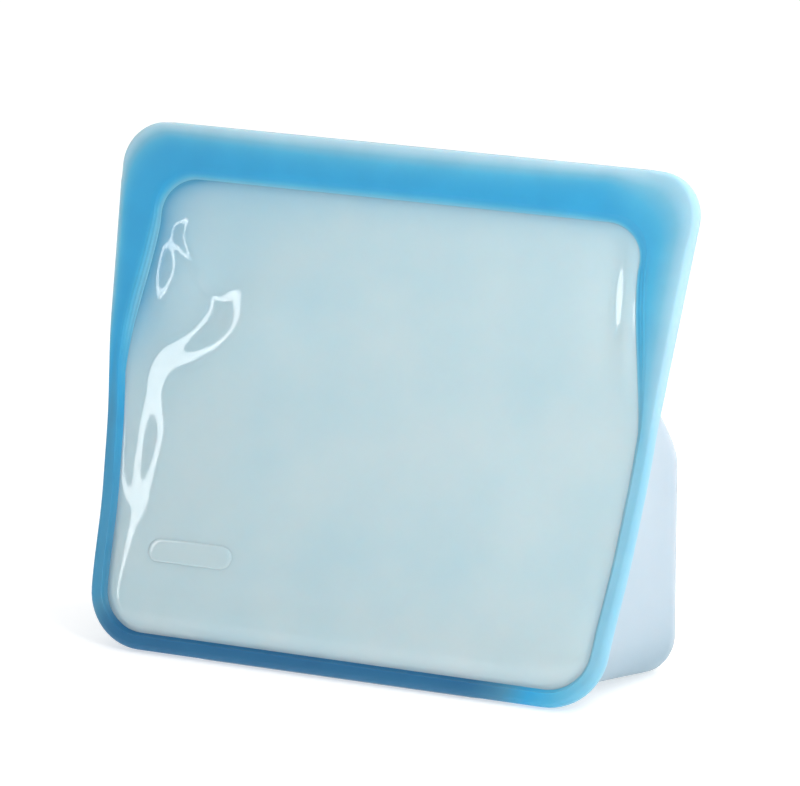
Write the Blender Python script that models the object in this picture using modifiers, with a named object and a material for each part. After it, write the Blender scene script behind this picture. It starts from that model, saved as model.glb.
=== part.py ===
"""Reusable stand-up silicone bag, closed and standing on its base.

Run with: blender --background --python part.py
Units are metres, +Z is up. The bag's front faces -Y and its width runs along X. The origin is the
middle of the bounding box's bottom face.

The front sheet lies in a plane that leans back. Everything that belongs to that plane is drawn
upright, in the plane's own axes: x across, y into the bag, z (called v here) up along the slope.
"""

import math

import bmesh
import bpy
from mathutils import Matrix, Vector

# Driving dimensions
TOP_WIDTH = 0.229
BOTTOM_WIDTH = 0.2005
SLANT_HEIGHT = 0.1930
LEAN = math.radians(19.1)
BASE_DEPTH = 0.0715
BACK_HALF_WIDTH = 0.1065
WALL = 0.0011
GAP = 0.0003

# Rim of the front sheet
RIM_WIDTH = 0.0063
RIM_DEPTH = 0.0050
SEAM_WIDTH = 0.0177
SEAM_START_V = 0.102
SEAM_FULL_V = 0.153
BOTTOM_CORNER = 0.022
TOP_CORNER = 0.016
WINDOW_CORNER = 0.012

# Mouth: two lips, pressed together by a rib between two rails
BAND_HEIGHT = 0.020
BAND_DEPTH = 0.0075
LIP_DEPTH = 0.0025
LIP_HALF_LENGTH = 0.0955
FLANGE_HEIGHT = 0.0065
FLANGE_DEPTH = 0.0018
RIB_WIDTH = 0.0024
RAIL_WIDTH = 0.0017
RAIL_SPACING = 0.0063

# Gusset: side walls that run back from the rim and close in a point at the side seam
KINK_Z = 0.0790
GUSSET_TOP_Z = 0.114
BACK_CORNER = 0.0140
GUSSET_TOP_CORNER = 0.0006
BASE_ROUND = 0.0135
BASE_ROUND_FRONT = 0.024
BACK_BULGE = 0.003
SIDE_SHARE = 0.7
CURVE_SHARE = 0.45
BASE_STEPS = 8

# Columns and rows of the curved sheets
GUSSET_GRID = (10, 12)
BACK_LOWER_GRID = (4, 7)
BACK_UPPER_GRID = (16, 10)

# Joints
HINGE_V = 0.080
HINGE_GAP = 0.0006

# Raised blank plate, low on the front window
PLATE_SIZE = (0.034, 0.0085)
PLATE_CENTRE = (-0.0635, 0.037)
PLATE_DEPTH = 0.0004

# Front window, set back in its rim
WINDOW_Y = 0.0025

# Derived places
BAND_V = SLANT_HEIGHT - BAND_HEIGHT
SEAL_V = BAND_V + 0.0075
WINDOW_BACK_Y = WINDOW_Y + WALL
REAR_Y = BAND_DEPTH - WALL / 2
DEPTH = SLANT_HEIGHT * math.sin(LEAN) + BAND_DEPTH * math.cos(LEAN)
FRONT_Y = -DEPTH / 2
FLOOR_LIFT = RIM_DEPTH * math.sin(LEAN)
BACK_Y = FRONT_Y + BASE_DEPTH
ARC_STEPS = 6

FRAME_BLUE = (0.075, 0.36, 0.63, 1.0)
WINDOW_BLUE = (0.52, 0.70, 0.79, 1.0)
SKIN_BLUE = (0.66, 0.80, 0.87, 1.0)


def clear_scene():
    for obj in list(bpy.data.objects):
        bpy.data.objects.remove(obj, do_unlink=True)


def material(name, colour, roughness):
    made = bpy.data.materials.new(name)
    made.use_nodes = True
    shader = made.node_tree.nodes["Principled BSDF"]
    shader.inputs["Base Color"].default_value = colour
    shader.inputs["Roughness"].default_value = roughness
    shader.inputs["Metallic"].default_value = 0.0
    return made


def mix(a, b, t):
    return a + (b - a) * t


# --- The leaning plane ---------------------------------------------------------------------


def lean_matrix():
    """From the plane's own axes to the row frame."""
    place = Matrix.Translation((0.0, FRONT_Y, FLOOR_LIFT))
    return place @ Matrix.Rotation(-LEAN, 4, "X")


def on_plane(x, y, v):
    return lean_matrix() @ Vector((x, y, v))


def v_at_height(z, y=0.0):
    """The slope distance v of the point at height z, y behind the front face."""
    return (z - FLOOR_LIFT + y * math.sin(LEAN)) / math.cos(LEAN)


def half_width(v):
    return mix(BOTTOM_WIDTH, TOP_WIDTH, v / SLANT_HEIGHT) / 2


def rim_width(v):
    """Narrow beside the gusset, then widening evenly to the full seam."""
    t = (v - SEAM_START_V) / (SEAM_FULL_V - SEAM_START_V)
    return mix(RIM_WIDTH, SEAM_WIDTH, min(max(t, 0.0), 1.0))


def inner_edge(v):
    return half_width(v) - rim_width(v)


# --- Flat outlines -------------------------------------------------------------------------


def rounded(corners):
    """A closed outline through (x, v, radius) corners, each filleted by its radius."""
    points = []
    count = len(corners)
    for i, (x, v, radius) in enumerate(corners):
        here = Vector((x, v))
        if radius <= 0:
            points.append(here)
            continue
        before = (Vector(corners[i - 1][:2]) - here).normalized()
        after = (Vector(corners[(i + 1) % count][:2]) - here).normalized()
        half = before.angle(after) / 2
        centre = here + (before + after).normalized() * (radius / math.sin(half))
        start = here + before * (radius / math.tan(half)) - centre
        end = here + after * (radius / math.tan(half)) - centre
        turn = start.angle_signed(end)
        for step in range(ARC_STEPS + 1):
            a = -turn * step / ARC_STEPS
            spun = Vector(
                (
                    start.x * math.cos(a) - start.y * math.sin(a),
                    start.x * math.sin(a) + start.y * math.cos(a),
                )
            )
            points.append(centre + spun)
    return points


def mirrored(corners):
    """The same corners on the other side, in the order that keeps the outline's direction."""
    return [(-x, v, radius) for x, v, radius in reversed(corners)]


def flat_curve(name, outline, thickness):
    """A filled 2D curve, thickened evenly to both sides of its plane."""
    curve = bpy.data.curves.new(name, "CURVE")
    curve.dimensions = "2D"
    curve.fill_mode = "BOTH"
    curve.extrude = thickness / 2
    spline = curve.splines.new("POLY")
    spline.points.add(len(outline) - 1)
    for point, (across, up) in zip(spline.points, outline):
        point.co = (across, up, 0.0, 1.0)
    spline.use_cyclic_u = True
    return curve


def flat_piece(name, outline, y_front, y_back, look, body):
    """An (x, v) outline in the leaning plane, thickened from y_front to y_back."""
    obj = bpy.data.objects.new(name, flat_curve(name, outline, y_back - y_front))
    obj.rotation_euler = (math.pi / 2, 0.0, 0.0)
    obj.location = (0.0, (y_front + y_back) / 2, 0.0)
    finish(obj, look, body, lean_matrix())


def bar_along_x(name, outline, look, body):
    """A (y, v) outline drawn out along x, as long as the lips."""
    obj = bpy.data.objects.new(name, flat_curve(name, outline, 2 * LIP_HALF_LENGTH))
    obj.rotation_euler = (math.pi / 2, 0.0, math.pi / 2)
    finish(obj, look, body, lean_matrix())


# --- Curved sheets -------------------------------------------------------------------------


def sheet(name, place, cells, look, body):
    """A wall of even thickness over place(s, t), with s and t from 0 to 1."""
    columns, rows = cells
    mesh = bpy.data.meshes.new(name)
    grid = bmesh.new()
    bmesh.ops.create_grid(grid, x_segments=columns, y_segments=rows, size=0.5)
    for vertex in grid.verts:
        vertex.co = place(vertex.co.x + 0.5, vertex.co.y + 0.5)
    grid.to_mesh(mesh)
    grid.free()
    mesh.shade_smooth()
    obj = bpy.data.objects.new(name, mesh)
    wall = obj.modifiers.new("wall", "SOLIDIFY")
    wall.thickness = WALL
    wall.offset = 0.0
    wall.use_even_offset = True
    finish(obj, look, body, Matrix.Identity(4))


def finish(obj, look, body, axes):
    """Gives the piece its look and hangs it on its body's empty, where these axes put it."""
    bag.objects.link(obj)
    obj.data.materials.append(look)
    obj.parent = body
    obj.matrix_parent_inverse = body.matrix_world.inverted() @ axes


def body_empty(name, position):
    """The empty that carries a body's pieces: on the joint's axis for a body that turns."""
    empty = bpy.data.objects.new(name, None)
    empty.matrix_world = Matrix.Translation(position)
    bag.objects.link(empty)
    return empty


# --- Front sheet and its rim ---------------------------------------------------------------


def side_corners(v_low, v_high, inset=0.0):
    """The rim's inner edge from v_low to v_high, with the bends of its width on the way."""
    bends = [v for v in (SEAM_START_V, SEAM_FULL_V) if v_low < v < v_high]
    return [(inner_edge(v) - inset, v, 0.0) for v in (v_low, *bends, v_high)]


def front_window_lower():
    low = RIM_WIDTH + GAP
    high = HINGE_V - HINGE_GAP / 2
    corner = (inner_edge(low) - GAP, low, BOTTOM_CORNER - RIM_WIDTH)
    right = [corner, (inner_edge(high) - GAP, high, 0.0)]
    outline = rounded(right + mirrored(right))
    flat_piece("front_window_lower", outline, WINDOW_Y, WINDOW_BACK_Y, window_look, fixed)


def front_window_upper():
    low = HINGE_V + HINGE_GAP / 2
    high = BAND_V - GAP
    right = side_corners(low, SEAM_FULL_V + GAP, GAP)
    right[-1:] = [(inner_edge(high) - GAP, high, WINDOW_CORNER)]
    outline = rounded(right + mirrored(right))
    flat_piece("front_window_upper", outline, WINDOW_Y, WINDOW_BACK_Y, window_look, front_mouth)


def bottom_rim():
    """The rim's bottom bar, with both rounded corners."""
    top = BOTTOM_CORNER + RIM_WIDTH
    outer = [(half_width(0.0), 0.0, BOTTOM_CORNER), (half_width(top), top, 0.0)]
    inner = [
        (inner_edge(top), top, 0.0),
        (inner_edge(RIM_WIDTH), RIM_WIDTH, BOTTOM_CORNER - RIM_WIDTH),
    ]
    right = outer + inner
    outline = rounded(right + mirrored(right))
    flat_piece("bottom_rim", outline, 0.0, RIM_DEPTH, rim_look, fixed)


def side_rim(name, side, v_low, y_front, y_back):
    """A side bar of the rim, up to the mouth, with the window's top corner filled in."""
    top = BAND_V
    edge = side_corners(v_low, top)
    inside = edge[:-1] + [(inner_edge(top), top - WINDOW_CORNER, 0.0)]
    fillet_start = inside[-1]
    steps = [math.pi / 2 * i / ARC_STEPS for i in range(1, ARC_STEPS + 1)]
    centre = fillet_start[0] - WINDOW_CORNER
    fillet = [
        (
            centre + WINDOW_CORNER * math.cos(a),
            fillet_start[1] + WINDOW_CORNER * math.sin(a),
            0.0,
        )
        for a in steps
    ]
    outer = [(half_width(top), top, 0.0), (half_width(v_low), v_low, 0.0)]
    corners = inside + fillet + outer
    if side < 0:
        corners = mirrored(corners)
    flat_piece(name, rounded(corners), y_front, y_back, rim_look, fixed)


def seal_end(name, side):
    """Where both lips run together, at one end of the mouth."""
    low = BAND_V + GAP
    start = LIP_HALF_LENGTH + GAP
    corners = [
        (start, low, 0.0),
        (half_width(low), low, 0.0),
        (half_width(SLANT_HEIGHT), SLANT_HEIGHT, TOP_CORNER),
        (start, SLANT_HEIGHT, 0.0),
    ]
    if side < 0:
        corners = mirrored(corners)
    flat_piece(name, rounded(corners), 0.0, BAND_DEPTH, rim_look, fixed)


def blank_plate():
    """A plain raised plate with round ends."""
    width, height = PLATE_SIZE
    x, v = PLATE_CENTRE
    radius = height / 2 - 0.0001
    corners = [
        (x - width / 2, v - height / 2, radius),
        (x + width / 2, v - height / 2, radius),
        (x + width / 2, v + height / 2, radius),
        (x - width / 2, v + height / 2, radius),
    ]
    back = WINDOW_Y - GAP
    flat_piece("blank_plate", rounded(corners), back - PLATE_DEPTH, back, rim_look, fixed)


# --- Mouth ---------------------------------------------------------------------------------


def lip(name, outside, inside, body):
    """A lip in section: a thick band below a thin grip flange, with a slope between them."""
    low = BAND_V + GAP
    step = SLANT_HEIGHT - FLANGE_HEIGHT
    inward = math.copysign(1.0, inside - outside)
    flange = outside + inward * FLANGE_DEPTH
    outline = [
        (outside, low),
        (outside, SLANT_HEIGHT),
        (flange, SLANT_HEIGHT),
        (flange, step),
        (inside, step - FLANGE_DEPTH),
        (inside, low),
    ]
    bar_along_x(name, outline, rim_look, body)


def seal_bar(name, height, width, body):
    """A bar of the press seal, in the space between the lips."""
    front = LIP_DEPTH + GAP
    back = BAND_DEPTH - LIP_DEPTH - GAP
    low, high = height - width / 2, height + width / 2
    outline = [(front, low), (front, high), (back, high), (back, low)]
    bar_along_x(name, outline, rim_look, body)


def press_seal():
    """A rib on the front lip, held between two rails on the rear lip."""
    seal_bar("seal_rib", SEAL_V, RIB_WIDTH, front_mouth)
    seal_bar("seal_rail_upper", SEAL_V + RAIL_SPACING / 2, RAIL_WIDTH, rear_mouth)
    seal_bar("seal_rail_lower", SEAL_V - RAIL_SPACING / 2, RAIL_WIDTH, rear_mouth)


# --- Gusset, base and rear sheet -----------------------------------------------------------


def taper(z):
    """0 up to the kink, then 1 where the gusset runs out at the side seam."""
    return min(max((z - KINK_Z) / (GUSSET_TOP_Z - KINK_Z), 0.0), 1.0)


def front_of_gusset(z):
    """Where the side wall leaves the rim's back, at height z."""
    y = RIM_DEPTH + GAP + WALL / 2
    v = v_at_height(z, y)
    return on_plane(half_width(v) - RIM_WIDTH / 2, y, v)


def seam_y(z):
    """The middle of the rear sheet where it meets the side seam, at height z."""
    return on_plane(0.0, REAR_Y, v_at_height(z, REAR_Y)).y


def back_edge(z):
    """The middle of the back wall at height z: straight up, then forward to the seam."""
    return mix(BACK_Y - WALL / 2, seam_y(GUSSET_TOP_Z), taper(z))


def back_half_width(z):
    seam_x = inner_edge(v_at_height(GUSSET_TOP_Z)) + GUSSET_TOP_CORNER
    return mix(BACK_HALF_WIDTH - WALL / 2, seam_x, taper(z))


def corner_radius(z):
    return mix(BACK_CORNER, GUSSET_TOP_CORNER, taper(z))


def undercut(radius, z):
    """How far a wall has rounded in, at height z, when this radius joins it to the floor."""
    up = min(z - WALL / 2, radius)
    return radius - math.sqrt(max(radius * radius - (radius - up) ** 2, 0.0))


def wall_height(t, radius, top):
    """Heights up a wall: CURVE_SHARE of the rows in its bottom curve, the rest up to its top."""
    low = WALL / 2
    if t < CURVE_SHARE:
        return low + radius * (1 - math.cos(math.pi / 2 * t / CURVE_SHARE))
    return mix(low + radius, top, (t - CURVE_SHARE) / (1 - CURVE_SHARE))


def gusset_point(side, s, t):
    """The side wall: front to back for s up to SIDE_SHARE, then round the back corner."""
    along = min(s / SIDE_SHARE, 1.0)
    radius = mix(BASE_ROUND_FRONT, BASE_ROUND, along**5)
    z = wall_height(t, radius, GUSSET_TOP_Z)
    inset = undercut(radius, z)
    corner = corner_radius(z)
    back_x = back_half_width(z)
    corner_y = back_edge(z) - corner
    if s <= SIDE_SHARE:
        front = front_of_gusset(z)
        x = mix(front.x, back_x, along) - inset
        y = mix(front.y, corner_y, along)
    else:
        a = math.pi / 2 * (s - SIDE_SHARE) / (1 - SIDE_SHARE)
        x = back_x - corner + (corner - inset) * math.cos(a)
        y = corner_y + (corner - inset) * math.sin(a)
    return Vector((side * x, y, z))


def back_wall_point(s, t):
    """The lower back wall, between the gussets' round corners."""
    z = wall_height(t, BASE_ROUND, KINK_Z - HINGE_GAP / 2)
    half = back_half_width(z) - corner_radius(z) - 2 * GAP
    return Vector((mix(-half, half, s), back_edge(z) - undercut(BASE_ROUND, z), z))


def rear_wall_point(s, t):
    """The upper back wall, flat at the kink and at the lip and hollow at its sides between."""
    top = on_plane(0.0, REAR_Y, BAND_V - GAP)
    z = mix(KINK_Z + HINGE_GAP / 2, top.z, t)
    v = v_at_height(z, REAR_Y)
    if z < GUSSET_TOP_Z:
        edge_x = back_half_width(z) - corner_radius(z) - 2 * GAP
        edge_y = back_edge(z)
    else:
        edge_x = inner_edge(v) - 2 * GAP
        edge_y = seam_y(z)
    near_top = min(max((v - (BAND_V - WINDOW_CORNER)) / WINDOW_CORNER, 0.0), 1.0)
    edge_x -= WINDOW_CORNER * (1 - math.sqrt(1 - near_top**2))
    middle_y = mix(back_edge(KINK_Z), top.y, t) + BACK_BULGE * math.sin(math.pi * t)
    across = 2 * s - 1
    y = mix(edge_y, middle_y, 1 - abs(across) ** 3)
    return Vector((across * edge_x, y, z))


def base_panel():
    """The flat floor, just inside the walls' bottom curves."""
    low = WALL / 2
    side = [gusset_point(1, SIDE_SHARE * i / BASE_STEPS, 0.0) for i in range(BASE_STEPS + 1)]
    right = [(point.x - GAP, point.y) for point in side]
    right[-1] = (right[-1][0], back_edge(low) - BASE_ROUND - GAP)
    left = [(-x, y) for x, y in reversed(right)]
    obj = bpy.data.objects.new("base_panel", flat_curve("base_panel", right + left, WALL))
    obj.location = (0.0, 0.0, low)
    finish(obj, skin_look, fixed, Matrix.Identity(4))


def build():
    front_window_lower()
    front_window_upper()
    bottom_rim()
    for name, side in (("left", -1), ("right", 1)):
        side_rim(f"{name}_rim", side, BOTTOM_CORNER + RIM_WIDTH + GAP, 0.0, RIM_DEPTH)
        seam_low = v_at_height(GUSSET_TOP_Z, BAND_DEPTH) + WALL
        side_rim(f"{name}_rear_seam", side, seam_low, RIM_DEPTH + GAP, BAND_DEPTH)
        seal_end(f"{name}_seal_end", side)
        sheet(
            f"{name}_gusset",
            lambda s, t, side=side: gusset_point(side, s, t),
            GUSSET_GRID,
            skin_look,
            fixed,
        )
    blank_plate()
    lip("front_lip", 0.0, LIP_DEPTH, front_mouth)
    lip("rear_lip", BAND_DEPTH, BAND_DEPTH - LIP_DEPTH, rear_mouth)
    press_seal()
    base_panel()
    sheet("back_wall_lower", back_wall_point, BACK_LOWER_GRID, skin_look, fixed)
    sheet("back_wall_upper", rear_wall_point, BACK_UPPER_GRID, skin_look, rear_mouth)


clear_scene()
bag = bpy.data.collections.new("silicone_bag")
bpy.context.scene.collection.children.link(bag)
rim_look = material("rim_silicone", FRAME_BLUE, 0.45)
window_look = material("window_silicone", WINDOW_BLUE, 0.12)
skin_look = material("skin_silicone", SKIN_BLUE, 0.35)
fixed = body_empty("bag_body", (0.0, 0.0, 0.0))
front_mouth = body_empty("front_mouth_hinge", on_plane(0.0, WINDOW_Y + WALL / 2, HINGE_V))
rear_mouth = body_empty("rear_mouth_hinge", (0.0, back_edge(KINK_Z), KINK_Z))
build()
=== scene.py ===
import math

import bmesh
import bpy
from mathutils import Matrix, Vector, noise


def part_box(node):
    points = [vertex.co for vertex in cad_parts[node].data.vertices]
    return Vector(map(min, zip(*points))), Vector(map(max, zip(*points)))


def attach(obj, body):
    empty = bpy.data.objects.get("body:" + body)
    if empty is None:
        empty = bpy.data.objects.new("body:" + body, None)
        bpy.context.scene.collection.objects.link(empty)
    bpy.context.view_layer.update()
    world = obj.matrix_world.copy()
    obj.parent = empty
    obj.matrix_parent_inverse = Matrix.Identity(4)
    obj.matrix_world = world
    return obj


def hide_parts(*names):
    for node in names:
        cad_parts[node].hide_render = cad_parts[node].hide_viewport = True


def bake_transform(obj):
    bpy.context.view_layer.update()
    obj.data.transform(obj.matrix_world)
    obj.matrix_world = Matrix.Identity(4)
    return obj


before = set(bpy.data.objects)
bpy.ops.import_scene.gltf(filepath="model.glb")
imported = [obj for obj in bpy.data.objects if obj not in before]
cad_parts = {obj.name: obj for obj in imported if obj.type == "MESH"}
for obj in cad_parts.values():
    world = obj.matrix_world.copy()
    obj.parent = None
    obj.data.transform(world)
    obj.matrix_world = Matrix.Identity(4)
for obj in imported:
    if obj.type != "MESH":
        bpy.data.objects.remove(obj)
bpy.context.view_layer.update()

# The CAD's driving dimensions, in metres. A place on the leaning front is x across, d behind
# its face and v up its slope.
LEAN = math.radians(19.1)
TOP_WIDTH = 0.229
BOTTOM_WIDTH = 0.2005
SLANT_HEIGHT = 0.1930
RIM_WIDTH = 0.0063
RIM_DEPTH = 0.0050
SEAM_WIDTH = 0.0177
SEAM_START_V = 0.100
SEAM_FULL_V = 0.156
BAND_V = 0.1730
BAND_DEPTH = 0.0075
WINDOW_Y = 0.0025
LIP_HALF_LENGTH = 0.0955
HINGE_V = 0.080
KINK_Z = 0.079
GUSSET_TOP_Z = 0.114
WALL = 0.0011

FRONT_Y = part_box("bottom_rim")[0].y
FLOOR_LIFT = RIM_DEPTH * math.sin(LEAN)
BACK_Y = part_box("back_wall_lower")[1].y - WALL / 2
BACK_HALF_WIDTH = -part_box("left_gusset")[0].x - WALL / 2

# Soft shapes that the CAD's panels leave out
SEAM_EASING = 0.4
SIDE_BOW = 0.0032

# Radii of the front's corners, and of the window's inside them
BOTTOM_CORNER = 0.022
TOP_CORNER = 0.016
WINDOW_BOTTOM_CORNER = BOTTOM_CORNER - RIM_WIDTH
WINDOW_TOP_CORNER = 0.0135

# Where the walls begin to turn at the two mouth hinges, and where they have turned fully
FRONT_BEND_START_V = HINGE_V - 0.004
FRONT_BEND_END_V = HINGE_V + 0.050
REAR_BEND_START_Z = KINK_Z - 0.002
REAR_BEND_END_Z = KINK_Z + 0.035


# --- Camera ------------------------------------------------------------------------------

AZIMUTH = math.radians(24.72)
ELEVATION = math.radians(15.155)
TARGET = Vector((0.0, -0.00542, 0.09664))
DISTANCE = 2.0
SENSOR_WIDTH_MM = 36.0
LENS_MM = 251.17
SHIFT_X = 0.0393
SHIFT_Y = 0.0111


def make_camera():
    back = Vector(
        (
            math.sin(AZIMUTH) * math.cos(ELEVATION),
            -math.cos(AZIMUTH) * math.cos(ELEVATION),
            math.sin(ELEVATION),
        )
    )
    data = bpy.data.cameras.new("camera")
    data.sensor_width = SENSOR_WIDTH_MM
    data.lens = LENS_MM
    data.shift_x = SHIFT_X
    data.shift_y = SHIFT_Y
    data.clip_start = 0.05
    data.clip_end = 50.0
    camera = bpy.data.objects.new("camera", data)
    bpy.context.scene.collection.objects.link(camera)
    camera.rotation_mode = "QUATERNION"
    camera.location = TARGET + back * DISTANCE
    camera.rotation_quaternion = (-back).to_track_quat("-Z", "Y")
    bpy.context.scene.camera = camera


make_camera()


# --- Small helpers -----------------------------------------------------------------------


def mix(a, b, t):
    return a + (b - a) * t


def clamp(t):
    return min(max(t, 0.0), 1.0)


def ease(t):
    return t * t * (3.0 - 2.0 * t)


def smooth(low, high, value):
    """An S-curve from 0 at low to 1 at high; low may be the larger of the two."""
    return ease(clamp((value - low) / (high - low)))


def on_plane(x, d, v):
    """The point x across, d behind and v up the leaning front plane."""
    return Vector(
        (
            x,
            FRONT_Y + d * math.cos(LEAN) + v * math.sin(LEAN),
            FLOOR_LIFT - d * math.sin(LEAN) + v * math.cos(LEAN),
        )
    )


def v_at_height(z, d):
    """How far up the slope a point d behind the front plane is, when it is at height z."""
    return (z - FLOOR_LIFT + d * math.sin(LEAN)) / math.cos(LEAN)


def half_width(v):
    """The front's half width, from its middle to its outer edge."""
    return mix(BOTTOM_WIDTH, TOP_WIDTH, v / SLANT_HEIGHT) / 2


def rim_width(v):
    """The frame's width beside the window: a narrow rim that widens into the side seam."""
    t = clamp((v - SEAM_START_V) / (SEAM_FULL_V - SEAM_START_V))
    return mix(RIM_WIDTH, SEAM_WIDTH, mix(t, ease(t), SEAM_EASING))


def inner_edge(v):
    return half_width(v) - rim_width(v)


def upper_share(v):
    """0 beside the narrow rim and 1 beside the wide seams."""
    return smooth(0.085, 0.135, v)


def bow(x, v):
    """How far the full bag pulls the rim's sides backwards, beside the gussets."""
    side = smooth(0.45, 0.95, abs(x) / half_width(v))
    return SIDE_BOW * side * smooth(0.020, 0.058, v) * (1.0 - smooth(0.078, 0.122, v))


def mouth_share(x):
    """How much the mouth opens at x: fully at its middle, and not at all at its closed ends."""
    return ease(max(0.0, 1.0 - (x / LIP_HALF_LENGTH) ** 2))


def front_weight(x, v):
    return mouth_share(x) * smooth(FRONT_BEND_START_V, FRONT_BEND_END_V, v)


def rear_weight(x, z):
    return mouth_share(x) * smooth(REAR_BEND_START_Z, REAR_BEND_END_Z, z)


# --- Mesh building -----------------------------------------------------------------------


def new_piece(name, verts, faces, shades=None):
    """A smooth mesh object; shades, one for each point, steer its material's colour."""
    mesh = bpy.data.meshes.new(name)
    mesh.from_pydata([tuple(v) for v in verts], [], faces)
    mesh.validate()
    mesh.shade_smooth()
    if shades is not None:
        layer = mesh.attributes.new("shade", "FLOAT", "POINT")
        layer.data.foreach_set("value", shades)
    obj = bpy.data.objects.new(name, mesh)
    bpy.context.scene.collection.objects.link(obj)
    fix_normals(mesh)
    return obj


def fix_normals(mesh):
    work = bmesh.new()
    work.from_mesh(mesh)
    bmesh.ops.recalc_face_normals(work, faces=work.faces)
    work.to_mesh(mesh)
    work.free()


def ring_faces(stations, points, close_stations):
    """Quads over stations x points, where each station's points form a closed ring."""
    faces = []
    last = stations if close_stations else stations - 1
    for i in range(last):
        a = i * points
        b = ((i + 1) % stations) * points
        for j in range(points):
            k = (j + 1) % points
            faces.append((a + j, a + k, b + k, b + j))
    if not close_stations:
        faces.append(tuple(range(points)))
        end = (stations - 1) * points
        faces.append(tuple(end + j for j in reversed(range(points))))
    return faces


def shell_faces(columns, rows):
    """Quads of a closed shell from two (columns x rows) grids of points, one after the other."""
    faces = []
    size = columns * rows

    def at(i, j, layer):
        return layer * size + j * columns + i

    for j in range(rows - 1):
        for i in range(columns - 1):
            quad = [(i, j), (i + 1, j), (i + 1, j + 1), (i, j + 1)]
            faces.append(tuple(at(a, b, 0) for a, b in quad))
            faces.append(tuple(at(a, b, 1) for a, b in reversed(quad)))
    for i in range(columns - 1):
        faces.append((at(i + 1, 0, 0), at(i, 0, 0), at(i, 0, 1), at(i + 1, 0, 1)))
        j = rows - 1
        faces.append((at(i, j, 0), at(i + 1, j, 0), at(i + 1, j, 1), at(i, j, 1)))
    for j in range(rows - 1):
        faces.append((at(0, j, 0), at(0, j + 1, 0), at(0, j + 1, 1), at(0, j, 1)))
        i = columns - 1
        faces.append((at(i, j + 1, 0), at(i, j, 0), at(i, j, 1), at(i, j + 1, 1)))
    return faces


def open_with(obj):
    """Bake a piece's placement into its mesh points.
    """
    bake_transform(obj)


# --- Outlines of the front ---------------------------------------------------------------

BOTTOM_STEPS = 30
ARC_STEPS = 14
SIDE_STEPS = 80
TOP_STEPS = 60


def turned(vector, angle):
    sine, cosine = math.sin(angle), math.cos(angle)
    return Vector((vector.x * cosine - vector.y * sine, vector.x * sine + vector.y * cosine))


def fillet(before, corner, after, radius):
    """Points round a corner, between the tangent points of an arc of this radius."""
    corner = Vector(corner)
    one = (Vector(before) - corner).normalized()
    two = (Vector(after) - corner).normalized()
    half = one.angle(two) / 2
    centre = corner + (one + two).normalized() * (radius / math.sin(half))
    start = corner + one * (radius / math.tan(half)) - centre
    end = corner + two * (radius / math.tan(half)) - centre
    turn = start.angle_signed(end)
    return [centre + turned(start, -turn * i / ARC_STEPS) for i in range(ARC_STEPS + 1)]


def spread(start, end, steps):
    """Points on the straight line between two ends, without the ends."""
    return [Vector(start).lerp(Vector(end), i / steps) for i in range(1, steps)]


def outer_half():
    """Half of the front's outer edge as (x, v), from the middle of its foot round to its top."""
    low = (half_width(0.0), 0.0)
    high = (half_width(SLANT_HEIGHT), SLANT_HEIGHT)
    first = fillet((0.0, 0.0), low, high, BOTTOM_CORNER)
    second = fillet(low, high, (0.0, SLANT_HEIGHT), TOP_CORNER)
    points = [Vector((0.0, 0.0))] + spread((0.0, 0.0), first[0], BOTTOM_STEPS) + first
    points += spread(first[-1], second[0], SIDE_STEPS) + second
    points += spread(second[-1], (0.0, SLANT_HEIGHT), TOP_STEPS) + [Vector((0.0, SLANT_HEIGHT))]
    return points


def inner_half():
    """Half of the frame's inner edge, point for point beside the outer edge."""
    foot = (0.0, RIM_WIDTH)
    low = (inner_edge(RIM_WIDTH), RIM_WIDTH)
    above = (inner_edge(SEAM_START_V), SEAM_START_V)
    below_v = BAND_V - 0.008
    below = (inner_edge(below_v), below_v)
    high = (inner_edge(BAND_V), BAND_V)
    first = fillet(foot, low, above, WINDOW_BOTTOM_CORNER)
    second = fillet(below, high, (0.0, BAND_V), WINDOW_TOP_CORNER)
    points = [Vector(foot)] + spread(foot, first[0], BOTTOM_STEPS) + first
    for i in range(1, SIDE_STEPS):
        v = mix(first[-1].y, second[0].y, i / SIDE_STEPS)
        points.append(Vector((inner_edge(v), v)))
    points += second + spread(second[-1], (0.0, BAND_V), TOP_STEPS) + [Vector((0.0, BAND_V))]
    return points


def full_loop(half):
    """Both halves of an outline, as one closed loop."""
    return half + [Vector((-p.x, p.y)) for p in reversed(half[1:-1])]


# --- Front frame -------------------------------------------------------------------------

EDGE_ROUND = 0.0024
FLANGE_WIDTH = 0.0050
FLANGE_DROP = 0.0006
LIP_DEPTH = 0.0027
FLUSH_SEAT = 0.0011
SEAT_GAP = 0.00005
SEAT_OVERLAP = 0.0006
BACK_BEVEL = 0.0006
RIM_RIDGE = 0.0014
SEAM_RIDGE = 0.0050
RIPPLE_HEIGHT = 0.00012
RIPPLES = 3
RIDGE_STEPS = 20
FACE_STEPS = 12
ROUND_STEPS = 6
INNER_PALENESS = 0.52

# The frame is deepest at its seams and thinnest along the lip, which has a flange along its top
SIDE_DEPTH = RIM_DEPTH + 0.0012
FLANGE_START_V = BAND_V - 0.010
FLANGE_FULL_V = SLANT_HEIGHT - 0.006


def seat_depth(v):
    """How far the window's seat lies behind the frame: a step low down, nearly flush at the top."""
    return mix(WINDOW_Y, FLUSH_SEAT, smooth(0.095, 0.140, v))


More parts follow.
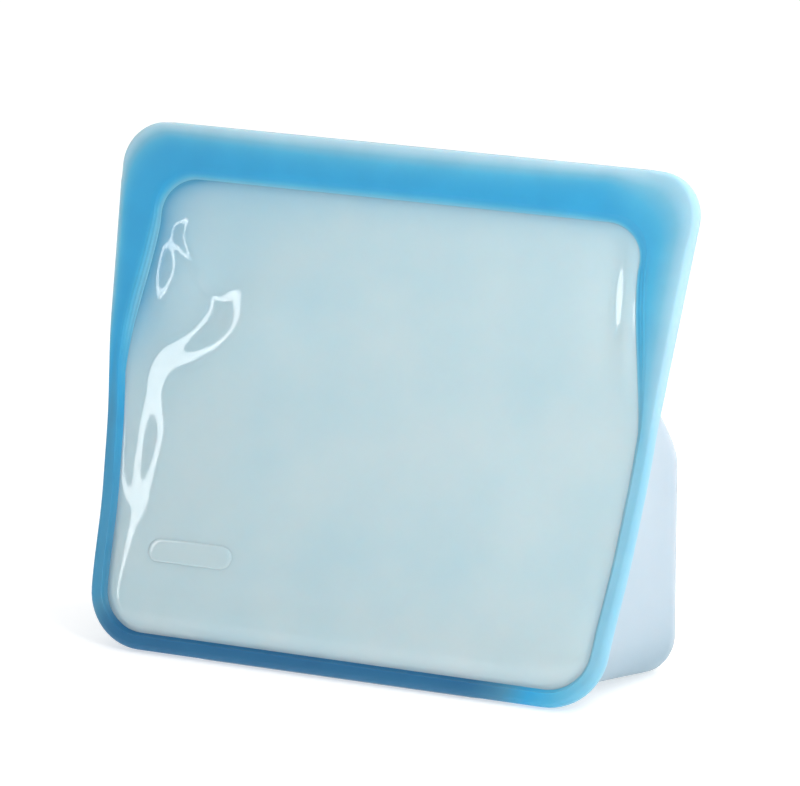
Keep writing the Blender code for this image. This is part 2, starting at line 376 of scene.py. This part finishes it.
def frame_tone(u, width, fine, top, right, edge, body):
    """The shade at u inward from the outer edge, which has its own, to the inner one, pale again.

    Shade runs from 0 at a thin pale edge, through the seal's blue, to 1 in the deepest blue.
    Fine, top and right are shares from 0 to 1: how wide, how near the lip and how far right, where
    painted backlight pales the seam."""
    # On the right the pale edge reaches across the whole seam and the inner fade narrows: painted
    # backlight.
    reach = mix(mix(0.0032, 0.0062, top), 0.0140, right)
    fade = mix(mix(0.0075, 0.0034, top), 0.0018, right)
    inner = INNER_PALENESS * fine * smooth(width - fade, width + 0.0005, u)
    return mix(edge, body, 1.0 - math.exp(-((u / reach) ** 1.6))) * (1.0 - inner)


def section(width, fine, depth, flange, seat):
    """The frame's section as (u, d): u inward from the outer edge, d behind the front.

    Fine is 0 on the narrow rim and 1 on the wide seams, whose inner edge slopes gently and
    carries faint ripples."""
    r = min(EDGE_ROUND, depth * 0.48)
    ripple = RIPPLE_HEIGHT * fine * (1.0 - 0.7 * clamp(flange / FLANGE_WIDTH))
    ridge = mix(RIM_RIDGE, SEAM_RIDGE, fine)
    top = width - ridge

    def sunk(u):
        return FLANGE_DROP * smooth(flange + 0.003, flange * 0.70, u) if flange > 0.0012 else 0.0

    outline = [(width, seat + 0.0003)]
    for i in range(RIDGE_STEPS):
        share = 1.0 - i / RIDGE_STEPS
        step = (seat - SEAT_GAP) * mix(share**0.5, ease(share), fine)
        wave = ripple * math.sin(2 * math.pi * RIPPLES * share)
        outline.append((top + ridge * share, step + wave))
    for i in range(FACE_STEPS + 1):
        u = mix(top, r, i / FACE_STEPS)
        outline.append((u, sunk(u)))
    rise = sunk(r)
    for i in range(1, ROUND_STEPS + 1):
        a = math.pi / 2 * i / ROUND_STEPS
        outline.append((r - r * math.sin(a), rise + r - r * math.cos(a)))
    for i in range(ROUND_STEPS + 1):
        a = math.pi / 2 * i / ROUND_STEPS
        outline.append((r - r * math.cos(a), depth - r + r * math.sin(a)))
    for i in range(1, ROUND_STEPS + 1):
        outline.append((mix(r, width - BACK_BEVEL, i / ROUND_STEPS), depth))
    outline.append((width, depth - BACK_BEVEL))
    return outline


def painted_backlight_right(x, v):
    """1 on the upper right side, which is painted palest as backlight, and 0 elsewhere."""
    return smooth(0.080, 0.108, x) * upper_share(v)


def frame_shades_and_painted_light(x, v):
    """The shades of the frame's outer edge and of its body, round its outline.

    Painted light: the left side is painted dull and the foot deep blue as shade, up to the foot's
    right corner, and the right side is painted pale as backlight."""
    upper = upper_share(v)
    low = 1.0 - smooth(0.001, 0.018, v)
    left = smooth(0.06, -0.06, x)
    corner = smooth(0.048, 0.100, x)
    # Painted shade on the left side and the foot, painted backlight on the right side and the foot's
    # right corner.
    edge = mix(mix(0.26, 0.74, left), 0.12 * painted_backlight_right(x, v), upper)
    edge = mix(edge, mix(mix(0.95, 0.36, corner), 0.97, left), low)
    body = mix(mix(0.28, 0.80, left), 0.66, upper)
    body = mix(body, mix(1.0, 0.38, corner), low)
    return edge, body


def front_frame():
    """The rim, the side seams and the front lip, as one moulded loop round the window."""
    outer = full_loop(outer_half())
    inner = full_loop(inner_half())
    verts, shades, weights = [], [], []
    for o, i in zip(outer, inner):
        width = (i - o).length
        inward = (i - o) / width
        fine = clamp((width - RIM_WIDTH) / (SEAM_WIDTH - RIM_WIDTH))
        on_top = smooth(FLANGE_START_V, FLANGE_FULL_V, o.y)
        flange = mix(0.0002, FLANGE_WIDTH, on_top)
        lip = smooth(LIP_HALF_LENGTH + 0.001, LIP_HALF_LENGTH - 0.0005, abs(o.x)) * (o.y > BAND_V)
        depth = mix(SIDE_DEPTH, BAND_DEPTH, smooth(0.100, 0.118, o.y))
        depth = mix(depth, LIP_DEPTH, lip)
        # The share of painted backlight on the right, and the edge and body shades, which carry
        # painted light as well as the frame's blue.
        right = painted_backlight_right(o.x, o.y)
        edge, body = frame_shades_and_painted_light(o.x, o.y)
        top = clamp(flange / FLANGE_WIDTH)
        ring = section(width, fine, depth, flange, seat_depth(i.y))
        for u, d in ring:
            p = o + inward * u
            verts.append(on_plane(p.x, d + bow(p.x, p.y), p.y))
            shades.append(frame_tone(u, width, fine, top, right, edge, body))
            weights.append(front_weight(p.x, p.y))
    faces = ring_faces(len(outer), len(ring), True)
    obj = new_piece("front_frame", verts, faces, shades)
    open_with(obj)
    for side in ("left", "right"):
        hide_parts(f"{side}_rim", f"{side}_seal_end", f"{side}_rear_seam")
    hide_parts("bottom_rim", "front_lip")
    return obj


# --- Front window ------------------------------------------------------------------------

# How far the sheet stands forward low down and high up, and how soon it does from its edges
LOW_BULGE = 0.0032
HIGH_BULGE = 0.0012
SIDE_RISE = 0.0032
FOOT_RISE = 0.0060
HEAD_RISE = 0.016


def corner_inset(reach, radius):
    """How far a round corner draws the edge in, at this reach into it from where it starts."""
    share = clamp(reach / radius)
    return radius * (1.0 - math.sqrt(max(0.0, 1.0 - share * share)))


def window_edge(v):
    """The window's half width at v, with both corners rounded."""
    low = RIM_WIDTH + WINDOW_BOTTOM_CORNER - v
    high = v - (BAND_V - WINDOW_TOP_CORNER)
    edge = inner_edge(v) - corner_inset(low, WINDOW_BOTTOM_CORNER)
    return edge - corner_inset(high, WINDOW_TOP_CORNER)


def inside_edge(v):
    """The window's half width at v, or at its foot or head for a v that is past them."""
    margin = 1e-5
    return window_edge(min(max(v, RIM_WIDTH + margin), BAND_V - margin))


def window_bulge(x, v):
    """How far the sheet stands forward of its seat: a shallow pillow, fuller low down."""
    side = max(0.0, window_edge(v) - abs(x))
    foot = max(0.0, v - RIM_WIDTH)
    head = max(0.0, BAND_V - v)
    full = mix(LOW_BULGE, HIGH_BULGE, smooth(0.022, 0.062, v))
    rise = (1.0 - math.exp(-side / SIDE_RISE)) * (1.0 - math.exp(-foot / FOOT_RISE))
    rise *= 1.0 - math.exp(-head / HEAD_RISE)
    return full * rise


# Soft folds in the slack sheet: middle x and v, half width, half height, slope, lean
FOLDS = (
    (-0.0882, 0.0765, 0.0115, 0.0260, 0.134, 0.04),
    (-0.0900, 0.1330, 0.0125, 0.0190, 0.270, 0.12),
    (-0.0690, 0.1180, 0.0230, 0.0162, 0.248, 0.70),
    (-0.0670, 0.1310, 0.0130, 0.0060, 0.120, 0.00),
    (-0.0785, 0.1425, 0.0045, 0.0120, 0.212, -0.75),
    (-0.0855, 0.1540, 0.0050, 0.0060, 0.100, 0.45),
    (-0.0900, 0.1000, 0.0080, 0.0050, 0.020, 0.00),
    (0.0900, 0.1460, 0.0075, 0.0260, 0.362, -0.08),
    (0.0700, 0.0900, 0.0150, 0.0220, 0.060, -0.50),
    (0.0300, 0.0700, 0.0060, 0.0300, 0.050, 0.10),
)
FOLD_REACH = 12.0
UNEVENNESS = 0.00009


def wrinkle(x, v):
    """The folds together, each a valley beside a crest, with a slight general unevenness."""
    total = UNEVENNESS * noise.noise(Vector((x * 105.0 + 3.1, v * 75.0 + 7.7, 0.4)))
    for middle_x, middle_v, wide, high, slope, lean in FOLDS:
        across = (x - middle_x - lean * (v - middle_v)) / wide
        along = (v - middle_v) / high
        reach = across * across + along * along
        if reach < FOLD_REACH:
            total += slope * wide * across * math.exp(-reach)
    return total


def window_place(x, v):
    """How far the window's front face lies behind the front plane."""
    side = max(0.0, inside_edge(v) - abs(x))
    settle = (1.0 - math.exp(-side / 0.003)) * smooth(BAND_V, BAND_V - 0.008, v)
    return seat_depth(v) - window_bulge(x, v) - wrinkle(x, v) * settle + bow(x, v)


def graded(low, high, margin, fine, coarse):
    """Values from low to high: fine steps within a margin of each end, coarse ones between."""
    values = [low + margin * i / fine for i in range(fine)]
    values += [mix(low + margin, high - margin, i / coarse) for i in range(coarse)]
    values += [high - margin * (1.0 - i / fine) for i in range(fine + 1)]
    return values


def window_tint_and_painted_shade(x, v, side):
    """How blue the window is: most beside the left seam and under the seal's band, and, as painted
    shade, a little deeper over its upper left.
    """
    left = smooth(0.05, -0.05, x)
    beside_seam = mix(0.20, 0.95, left) * math.exp(-side / mix(0.003, 0.0070, left))
    shade = beside_seam * upper_share(v) + 0.45 * math.exp(-(BAND_V - v) / 0.0050)
    # Painted shade: a broad, slightly deeper blue over the window's upper left.
    return clamp(shade + 0.16 * smooth(0.02, -0.11, x) * smooth(0.06, 0.16, v))


def front_window():
    """The clear sheet, finely divided, with its edges tucked under the frame."""
    heights = graded(RIM_WIDTH - SEAT_OVERLAP, BAND_V + SEAT_OVERLAP, 0.012, 22, 130)
    across = graded(-1.0, 1.0, 0.12, 24, 130)
    verts, weights, shades = [], [], []
    for layer in (0, 1):
        for v in heights:
            edge = inside_edge(v) + SEAT_OVERLAP
            for s in across:
                x = s * edge
                verts.append(on_plane(x, window_place(x, v) + layer * WALL, v))
                weights.append(front_weight(x, v))
                shades.append(window_tint_and_painted_shade(x, v, edge * (1.0 - abs(s))))
    obj = new_piece("front_window", verts, shell_faces(len(across), len(heights)), shades)
    open_with(obj)
    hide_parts("front_window_lower", "front_window_upper")
    return obj


# --- Rear skin: gussets, lower and upper back wall ---------------------------------------

BACK_CORNER = 0.0150
SHUT_CORNER = 0.0012
BASE_ROUND = 0.0135
BASE_ROUND_FRONT = 0.020
SHEET_DEPTH = BAND_DEPTH - WALL / 2
BELLY = 0.0012
SIDE_HOLLOW = 0.0012
SEAT_BLEND_Z = GUSSET_TOP_Z - 0.012
FRONT_LIFT = 0.0062
FRONT_LIFT_HEIGHT = 0.036
SIDE_COLUMNS = 22
CORNER_COLUMNS = 10
BACK_COLUMNS = 26

# The back wall's middle stands out softly over the kink, and again low down
KINK_FULLNESS = 0.0035
LOW_FULLNESS = 0.0008
LOW_FULLNESS_Z = 0.045
LOW_FULLNESS_REACH = 0.030


def taper(z):
    """How far the gusset has closed at height z: 0 below the kink, 1 where its sides meet."""
    return smooth(KINK_Z - 0.002, GUSSET_TOP_Z + 0.005, z)


def rear_sheet_y(z):
    """The middle of the rear sheet where it is fused to the side seam."""
    return on_plane(0.0, SHEET_DEPTH, v_at_height(z, SHEET_DEPTH)).y


def rim_back(z):
    """Where the side wall starts: just inside the back of the rim."""
    d = RIM_DEPTH - 0.0004
    v = v_at_height(z, d)
    x = half_width(v) - EDGE_ROUND
    point = on_plane(x, d + bow(x, v), v)
    return Vector((point.x, point.y))


def undercut(radius, z):
    """How far a wall's round foot draws in at height z."""
    up = clamp((z - WALL / 2) / radius) * radius
    return radius - math.sqrt(max(radius * radius - (radius - up) ** 2, 0.0))


def back_middle(z):
    """The middle of the back wall: upright, a soft kink, then forward to the rear lip."""
    top = on_plane(0.0, SHEET_DEPTH, BAND_V)
    t = clamp((z - KINK_Z) / (top.z - KINK_Z))
    over_kink = KINK_FULLNESS * math.sin(math.pi * t)
    low_down = LOW_FULLNESS * math.exp(-(((z - LOW_FULLNESS_Z) / LOW_FULLNESS_REACH) ** 2))
    return mix(BACK_Y, top.y, t) + over_kink + low_down


def rear_outline(z):
    """The skin's section at height z: where the side wall starts, and the back corner's place."""
    t = taper(z)
    v = v_at_height(z, SHEET_DEPTH)
    seam_x = inner_edge(min(v, BAND_V))
    corner = mix(BACK_CORNER, SHUT_CORNER, t)
    wide = mix(BACK_HALF_WIDTH + BELLY, seam_x, t)
    back = mix(BACK_Y, rear_sheet_y(z), t)
    start = rim_back(z)
    if z > SEAT_BLEND_Z:
        k = smooth(SEAT_BLEND_Z, GUSSET_TOP_Z, z)
        seat = on_plane(half_width(v) - 0.0035, BAND_DEPTH - 0.0010, v)
        start = start.lerp(Vector((seat.x, seat.y)), k)
    return start, wide, back, corner


def front_lift(along, z):
    """The side wall's foot follows the rim's round corner, so it leaves the floor at the front."""
    return FRONT_LIFT * (1.0 - along) ** 1.4 * (1.0 - clamp(z / FRONT_LIFT_HEIGHT)) ** 2


def lifted(half, z):
    """The half section's points at height z, with the front of their foot lifted."""
    shares = [min(i / SIDE_COLUMNS, 1.0) for i in range(len(half))]
    return [Vector((p.x, p.y, z + front_lift(along, z))) for p, along in zip(half, shares)]


def both_sides(half):
    return half + [Vector((-p.x, p.y, p.z)) for p in reversed(half[:-1])]


def rear_half(z):
    """Half of the rear skin's section at height z: from the rim's back round to the middle."""
    start, wide, back, corner = rear_outline(z)
    low = 1.0 - clamp(z / 0.030)
    points = []
    corner_y = back - corner
    for i in range(SIDE_COLUMNS):
        along = i / SIDE_COLUMNS
        radius = mix(BASE_ROUND_FRONT, BASE_ROUND, along**3)
        inset = undercut(radius, z)
        p = start.lerp(Vector((wide, corner_y)), along)
        hollow = SIDE_HOLLOW * math.sin(math.pi * along) * (1.0 - taper(z)) * (1.0 - low)
        points.append(Vector((p.x - inset - hollow, p.y)))
    inset = undercut(BASE_ROUND, z)
    radius = max(corner - inset, 0.0004)
    for i in range(CORNER_COLUMNS):
        a = math.pi / 2 * i / CORNER_COLUMNS
        x = wide - corner + radius * math.cos(a)
        y = corner_y + radius * math.sin(a)
        points.append(Vector((x, y)))
    edge = wide - corner
    edge_y = corner_y + radius
    middle = back_middle(z) - inset
    for i in range(BACK_COLUMNS + 1):
        s = i / BACK_COLUMNS
        x = mix(edge, 0.0, s)
        across = 1.0 - s
        y = mix(edge_y, middle, 1.0 - across**3)
        points.append(Vector((x, y)))
    return points


def rear_heights():
    """The heights of the skin's rows, closest together round its foot and over the kink."""
    foot_rows = 13
    heights = []
    for i in range(foot_rows + 1):
        a = math.pi / 2 * i / foot_rows
        heights.append(WALL / 2 + BASE_ROUND_FRONT * (1.0 - math.cos(a)))
    top = on_plane(0.0, SHEET_DEPTH, BAND_V + 0.001).z
    stretches = (
        (0.0206, KINK_Z - 0.008, 16),
        (KINK_Z - 0.008, GUSSET_TOP_Z + 0.004, 24),
        (GUSSET_TOP_Z + 0.004, top, 24),
    )
    for low, high, rows in stretches:
        heights += [mix(low, high, i / rows) for i in range(1, rows + 1)]
    return heights


def grid_normals(grid):
    """The outward normal at each point of a grid of rows."""
    rows, columns = len(grid), len(grid[0])
    normals = []
    for j in range(rows):
        for i in range(columns):
            right = grid[j][min(i + 1, columns - 1)] - grid[j][max(i - 1, 0)]
            up = grid[min(j + 1, rows - 1)][i] - grid[max(j - 1, 0)][i]
            normals.append(right.cross(up).normalized())
    return normals


def rear_skin():
    """The gussets and the whole back wall, as one sheet with the wall's thickness."""
    grid = [both_sides(lifted(rear_half(z), z)) for z in rear_heights()]
    points = [p for row in grid for p in row]
    normals = grid_normals(grid)
    verts, weights, shades = [], [], []
    for offset in (WALL / 2, -WALL / 2):
        for p, normal in zip(points, normals):
            verts.append(p + normal * offset)
            weights.append(rear_weight(p.x, p.z))
            # Painted shade: the skin turns deeper in colour towards the floor.
            shades.append(math.exp(-p.z / 0.020))
    obj = new_piece("rear_skin", verts, shell_faces(len(grid[0]), len(grid)), shades)
    open_with(obj)
    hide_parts("left_gusset", "right_gusset", "back_wall_lower", "back_wall_upper")
    return obj


def bag_base():
    """The base: a sheet from the rim's foot to the skin's foot, slightly raised in its middle."""
    half = rear_half(WALL / 2)
    outline = both_sides(lifted(half, 0.0))
    shrink = half[0].x / max(p.x for p in half)
    rows = 13
    verts = []
    for layer in (0, 1):
        for j in range(rows):
            t = j / (rows - 1)
            for p in outline:
                end = FRONT_LIFT * smooth(0.065, 0.088, abs(p.x))
                front_y = on_plane(0.0, RIM_DEPTH - 0.0006, v_at_height(end + WALL, 0.0)).y
                q = Vector((p.x * shrink, front_y, end)).lerp(p, t)
                lift = 0.0007 * (4 * t * (1 - t)) ** 2
                verts.append(Vector((q.x, q.y, q.z + lift + layer * WALL)))
    obj = new_piece("bag_base", verts, shell_faces(len(outline), rows))
    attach(obj, "bag")
    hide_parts("base_panel")
    return obj


# --- Mouth: rear lip and press seal ------------------------------------------------------

SEAL_V = BAND_V + 0.0075
RAIL_OFFSET = 0.00315
BAR_HALF_LENGTH = LIP_HALF_LENGTH + 0.001
BAR_STATIONS = 97
END_TUCK = 0.0012
END_TUCK_LENGTH = 0.003


def lip_bar(name, profile, body, node):
    """A bar along the mouth from a closed (d, v, shade) profile."""
    verts, shades, weights = [], [], []
    for i in range(BAR_STATIONS):
        x = mix(-BAR_HALF_LENGTH, BAR_HALF_LENGTH, i / (BAR_STATIONS - 1))
        tuck = END_TUCK * smooth(BAR_HALF_LENGTH - END_TUCK_LENGTH, BAR_HALF_LENGTH, abs(x))
        for d, v, shade in profile:
            p = on_plane(x, d - tuck, v)
            verts.append(p)
            shades.append(shade)
            weights.append(front_weight(x, v) if body == "front_mouth" else rear_weight(x, p.z))
    obj = new_piece(name, verts, ring_faces(BAR_STATIONS, len(profile), False), shades)
    open_with(obj)
    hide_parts(node)
    return obj


def rear_lip():
    """The rear lip: the fused band below, and a thinner grip flange with a round top above."""
    round_top = 0.0008
    flange_v = SLANT_HEIGHT - 0.0065
    front = BAND_DEPTH - 0.0026
    back = BAND_DEPTH + 0.0002
    flange_middle = BAND_DEPTH - 0.0010
    half_flange = 0.0010
    profile = [
        (front, BAND_V - 0.002, 0.6),
        (front, flange_v - 0.002, 0.6),
        (flange_middle - half_flange, flange_v, 0.4),
        (flange_middle - half_flange, SLANT_HEIGHT - round_top, 0.15),
    ]
    for i in range(7):
        a = math.pi * i / 6
        d = flange_middle - half_flange * math.cos(a)
        profile.append((d, SLANT_HEIGHT - round_top + round_top * math.sin(a), 0.05))
    profile += [
        (back, flange_v, 0.4),
        (back, BAND_V + 0.002, 0.62),
        (back - 0.0008, BAND_V - 0.002, 0.5),
    ]
    return lip_bar("rear_lip_bar", profile, "rear_mouth", "rear_lip")


def rounded_bar(front, back, middle_v, half_height):
    """The section of a rib or rail, as (d, v, shade), with four round corners."""
    r = 0.0006
    low, high = middle_v - half_height + r, middle_v + half_height - r
    corners = ((back - r, high, 0), (front + r, high, 90), (front + r, low, 180), (back - r, low, 270))
    points = []
    for d, v, start in corners:
        for i in range(4):
            a = math.radians(start + 30 * i)
            points.append((d + r * math.cos(a), v + r * math.sin(a), 0.55))
    return points


def press_seal():
    """The rib on the front lip, and the two rails on the rear lip that it presses between."""
    rib = rounded_bar(0.0022, 0.0046, SEAL_V, 0.0012)
    bars = [lip_bar("seal_rib_bar", rib, "front_mouth", "seal_rib")]
    for name, offset in (("upper", RAIL_OFFSET), ("lower", -RAIL_OFFSET)):
        rail = rounded_bar(0.0029, 0.0053, SEAL_V + offset, 0.00085)
        bars.append(lip_bar(f"seal_rail_{name}_bar", rail, "rear_mouth", f"seal_rail_{name}"))
    return bars


# --- Blank plate -------------------------------------------------------------------------

PLATE_X = -0.0635
PLATE_V = 0.037
PLATE_LENGTH = 0.034
PLATE_HEIGHT = 0.0085
PLATE_STEPS = 48

# The plate's rings: share of its half height, and how far it stands proud of the window there
PLATE_RINGS = (
    (0.25, 0.00055),
    (0.55, 0.00055),
    (0.80, 0.00055),
    (0.93, 0.00050),
    (1.00, 0.00030),
    (1.02, -0.00040),
)


def plate():
    """A plain raised plate with round ends, lying on the window's curve."""
    radius = PLATE_HEIGHT / 2
    verts = []
    for share, rise in PLATE_RINGS:
        stretch = min(share, 1.0 + (share - 1.0) * 0.2)
        for i in range(PLATE_STEPS):
            a = 2 * math.pi * i / PLATE_STEPS
            across = math.cos(a)
            middle = math.copysign(PLATE_LENGTH / 2 - radius, across) if abs(across) > 1e-9 else 0.0
            x = PLATE_X + (middle + radius * across) * stretch
            v = PLATE_V + radius * math.sin(a) * share
            verts.append(on_plane(x, window_place(x, v) - rise, v))
    faces = ring_faces(len(PLATE_RINGS), PLATE_STEPS, False)
    obj = new_piece("plain_plate", verts, faces)
    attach(obj, "bag")
    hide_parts("blank_plate")
    return obj


# --- Materials ---------------------------------------------------------------------------

SILICONE_IOR = 1.41
MILKY_RADIUS = (0.6, 0.9, 1.0)
MILKY_SCALE = 0.003


def new_material(name):
    made = bpy.data.materials.new(name)
    made.use_nodes = True
    return made, made.node_tree, made.node_tree.nodes["Principled BSDF"]


def set_sockets(node, values):
    for socket, value in values.items():
        node.inputs[socket].default_value = value


def link(tree, a, out, b, into):
    tree.links.new(a.outputs[out], b.inputs[into])


def colour_out(node):
    """A Mix node's colour output, since its outputs for other data have the same name."""
    return [out for out in node.outputs if out.type == "RGBA"][0]


def add_bump(tree, shader, scale, strength, distance):
    """Fine surface grain, in the object's own coordinates."""
    place = tree.nodes.new("ShaderNodeTexCoord")
    grain = tree.nodes.new("ShaderNodeTexNoise")
    set_sockets(grain, {"Scale": scale, "Detail": 3.0})
    bump = tree.nodes.new("ShaderNodeBump")
    set_sockets(bump, {"Strength": strength, "Distance": distance})
    link(tree, place, "Object", grain, "Vector")
    link(tree, grain, "Fac", bump, "Height")
    link(tree, bump, "Normal", shader, "Normal")
    return place


def mottled(tree, place, scale, low, high):
    """A slow cloudy variation between two colours."""
    cloud = tree.nodes.new("ShaderNodeTexNoise")
    set_sockets(cloud, {"Scale": scale, "Detail": 4.0})
    ramp = tree.nodes.new("ShaderNodeValToRGB")
    first, last = ramp.color_ramp.elements
    first.position, first.color = 0.30, (*low, 1)
    last.position, last.color = 0.72, (*high, 1)
    link(tree, place, "Object", cloud, "Vector")
    link(tree, cloud, "Fac", ramp, "Fac")
    return ramp


def shade_node(tree):
    shade = tree.nodes.new("ShaderNodeAttribute")
    shade.attribute_name = "shade"
    return shade


def towards(tree, tint, colour, shader):
    """Base colour: the tint, turning into a deeper colour as the mesh's shade rises."""
    blend = tree.nodes.new("ShaderNodeMix")
    blend.data_type = "RGBA"
    blend.inputs["B"].default_value = (*colour, 1)
    link(tree, shade_node(tree), "Fac", blend, "Factor")
    link(tree, tint, "Color", blend, "A")
    tree.links.new(colour_out(blend), shader.inputs["Base Color"])


# The rim's blues along its shade, from the thin pale edges through the seal's blue; the dull blue at
# 0.82 and the deep navy at 1.00 are painted shade for the left side and the foot
RIM_BLUES_AND_PAINTED_SHADE = (
    (0.00, (0.55, 0.76, 0.84)),
    (0.33, (0.20, 0.53, 0.70)),
    (0.50, (0.085, 0.465, 0.705)),
    (0.66, (0.036, 0.39, 0.69)),
    (0.82, (0.075, 0.285, 0.445)),
    (1.00, (0.014, 0.145, 0.31)),
)


def rim_material():
    """Thick satin silicone, whose blue follows the mesh's shade, which includes painted shade and
    painted backlight.
    """
    made, tree, shader = new_material("rim_silicone_look")
    place = add_bump(tree, shader, 900.0, 0.06, 0.0002)
    cloud = mottled(tree, place, 70.0, (0.90, 0.92, 0.94), (1.0, 1.0, 1.0))
    blues = tree.nodes.new("ShaderNodeValToRGB")
    stops = blues.color_ramp.elements
    for position, _ in RIM_BLUES_AND_PAINTED_SHADE[1:-1]:
        stops.new(position)
    for stop, (_, colour) in zip(stops, RIM_BLUES_AND_PAINTED_SHADE):
        stop.color = (*colour, 1)
    blend = tree.nodes.new("ShaderNodeMix")
    blend.data_type = "RGBA"
    blend.blend_type = "MULTIPLY"
    blend.inputs["Factor"].default_value = 1.0
    link(tree, shade_node(tree), "Fac", blues, "Fac")
    link(tree, blues, "Color", blend, "A")
    link(tree, cloud, "Color", blend, "B")
    tree.links.new(colour_out(blend), shader.inputs["Base Color"])
    set_sockets(
        shader,
        {
            "Roughness": 0.42,
            "IOR": SILICONE_IOR,
            "Subsurface Weight": 0.5,
            "Subsurface Radius": (0.35, 0.8, 1.0),
            "Subsurface Scale": 0.0015,
        },
    )
    return made


def window_material():
    """Thin glossy silicone that shows what is behind it."""
    made, tree, shader = new_material("window_silicone_look")
    place = add_bump(tree, shader, 60.0, 0.03, 0.0004)
    tint = mottled(tree, place, 30.0, (0.65, 0.89, 1.0), (0.75, 0.94, 1.0))
    # The blue tints the sheet along its edges, and over its upper left it is painted shade.
    towards(tree, tint, (0.12, 0.50, 0.80), shader)
    set_sockets(
        shader,
        {
            "Roughness": 0.05,
            "IOR": SILICONE_IOR,
            "Alpha": 0.60,
            "Subsurface Weight": 0.5,
            "Subsurface Radius": MILKY_RADIUS,
            "Subsurface Scale": MILKY_SCALE,
            "Coat Weight": 1.0,
            "Coat Roughness": 0.02,
        },
    )
    return made


def skin_material():
    """Smooth milky silicone, with painted shade turning it deeper in colour near the floor."""
    made, tree, shader = new_material("skin_silicone_look")
    place = add_bump(tree, shader, 700.0, 0.08, 0.0002)
    tint = mottled(tree, place, 26.0, (0.56, 0.67, 0.77), (0.63, 0.72, 0.81))
    # The deeper colour is painted shade near the floor.
    towards(tree, tint, (0.29, 0.44, 0.53), shader)
    set_sockets(
        shader,
        {
            "Roughness": 0.38,
            "IOR": SILICONE_IOR,
            "Alpha": 0.80,
            "Subsurface Weight": 0.6,
            "Subsurface Radius": MILKY_RADIUS,
            "Subsurface Scale": MILKY_SCALE,
        },
    )
    return made


# --- Stage and lights --------------------------------------------------------------------

FLOOR_HALF_SIZE = 4.0
FLOOR_GAP = 0.0001
BACKDROP_STEPS = 48
BACKDROP_RADIUS = 5.0
BACKDROP_FOOT = -0.5
BACKDROP_TOP = 6.0
WHITE = (1.0, 1.0, 1.0, 1)


def stage_object(name, verts, faces, material, look):
    """A surface that isn't part of the bag, with its own plain material."""
    mesh = bpy.data.meshes.new(name)
    mesh.from_pydata(verts, [], faces)
    obj = bpy.data.objects.new(name, mesh)
    bpy.context.scene.collection.objects.link(obj)
    made, _, shader = new_material(material)
    set_sockets(shader, look)
    mesh.materials.append(made)
    return obj


def floor():
    size = FLOOR_HALF_SIZE
    corners = [(-size, -size, 0), (size, -size, 0), (size, size, 0), (-size, size, 0)]
    look = {
        "Base Color": (0.60, 0.60, 0.60, 1),
        "Roughness": 0.8,
        "Emission Color": WHITE,
        "Emission Strength": 0.55,
    }
    obj = stage_object("floor", corners, [(0, 1, 2, 3)], "floor_white", look)
    obj.location.z = -FLOOR_GAP


def backdrop():
    """A white wall all round, which shows behind the object and lights nothing."""
    verts, faces = [], []
    for i in range(BACKDROP_STEPS):
        a = 2 * math.pi * i / BACKDROP_STEPS
        x, y = BACKDROP_RADIUS * math.cos(a), BACKDROP_RADIUS * math.sin(a)
        verts += [(x, y, BACKDROP_FOOT), (x, y, BACKDROP_TOP)]
        j = (i + 1) % BACKDROP_STEPS
        faces.append((2 * i, 2 * i + 1, 2 * j + 1, 2 * j))
    look = {
        "Base Color": (0.0, 0.0, 0.0, 1),
        "Specular IOR Level": 0.0,
        "Emission Color": WHITE,
        "Emission Strength": 1.0,
    }
    obj = stage_object("backdrop", verts, faces, "backdrop_white", look)
    obj.visible_diffuse = False
    obj.visible_glossy = False
    obj.visible_transmission = False
    obj.visible_shadow = False


LIGHT_AIM = Vector((0.0, 0.0, 0.09))


def area_light(name, place, width, height, power, gloss_only=False):
    data = bpy.data.lights.new(name, "AREA")
    data.shape = "RECTANGLE"
    data.size = width
    data.size_y = height
    data.energy = power
    obj = bpy.data.objects.new(name, data)
    bpy.context.scene.collection.objects.link(obj)
    obj.visible_diffuse = not gloss_only
    obj.location = place
    obj.rotation_mode = "QUATERNION"
    obj.rotation_quaternion = (LIGHT_AIM - Vector(place)).to_track_quat("-Z", "Y")


def light_room():
    """An even white room, brighter towards the right, the back and the top."""
    world = bpy.data.worlds.new("studio")
    bpy.context.scene.world = world
    world.use_nodes = True
    tree = world.node_tree
    sky = tree.nodes["Background"]
    place = tree.nodes.new("ShaderNodeTexCoord")
    facing = tree.nodes.new("ShaderNodeVectorMath")
    facing.operation = "DOT_PRODUCT"
    facing.inputs[1].default_value = (0.50, 0.70, 0.51)
    brightness = tree.nodes.new("ShaderNodeMapRange")
    brightness.interpolation_type = "SMOOTHSTEP"
    set_sockets(brightness, {"From Min": -0.8, "From Max": 0.9, "To Min": 0.42, "To Max": 1.02})
    link(tree, place, "Generated", facing, 0)
    link(tree, facing, "Value", brightness, "Value")
    link(tree, brightness, "Result", sky, "Strength")
    sky.inputs["Color"].default_value = WHITE
    area_light("key", (0.40, 0.28, 0.70), 0.30, 0.30, 1.6)
    area_light("left_softbox", (-0.85, -0.75, 0.53), 0.10, 1.05, 2.1, gloss_only=True)
    area_light("right_softbox", (0.34, -0.26, 0.40), 0.12, 0.30, 0.9)
    bpy.context.scene.view_settings.view_transform = "Standard"


# --- Build -------------------------------------------------------------------------------

rim_look = rim_material()
window_look = window_material()
skin_look = skin_material()
looks = (
    (front_frame(), rim_look),
    (front_window(), window_look),
    (rear_skin(), skin_look),
    (bag_base(), skin_look),
    (rear_lip(), rim_look),
    *((bar, rim_look) for bar in press_seal()),
    (plate(), window_look),
)
for piece, look in looks:
    piece.data.materials.append(look)
floor()
backdrop()
light_room()
